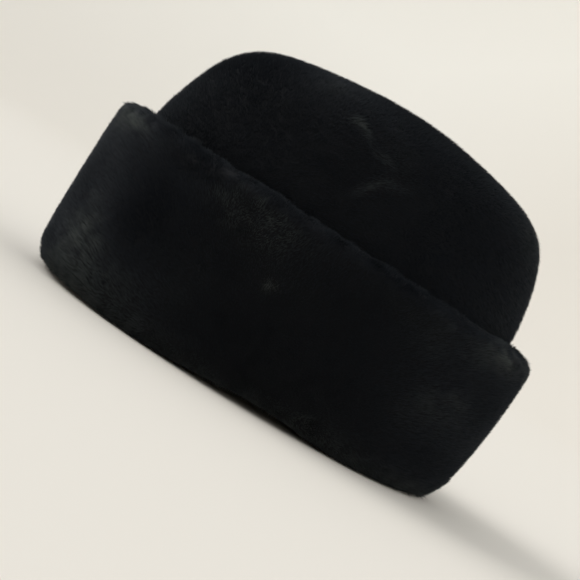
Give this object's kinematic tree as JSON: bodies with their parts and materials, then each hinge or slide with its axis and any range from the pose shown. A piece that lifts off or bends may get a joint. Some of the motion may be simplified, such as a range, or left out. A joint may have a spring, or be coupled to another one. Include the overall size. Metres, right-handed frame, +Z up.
{
  "type": "cuffed fur cloche hat",
  "caption": "Deep black sheared-fur hat with a gently domed crown, open below for the head, and a tall fur cuff turned up all round it.",
  "frame": {"origin": "on the resting surface, under the middle of the hat's length and width", "axes": "+Z up, +Y towards the back of the head, +X towards the wearer's left"},
  "size_m": [0.221, 0.259, 0.17],
  "materials": {
    "crown_fur": "dense sheared black fur, matt with a faint soft sheen, plain dark inside",
    "cuff_fur": "dense sheared black fur, matt, with a soft greyish sheen on its rim and front"
  },
  "bodies": {
    "root": {"crown": "crown_fur", "cuff": "cuff_fur"}
  },
  "joints": []
}
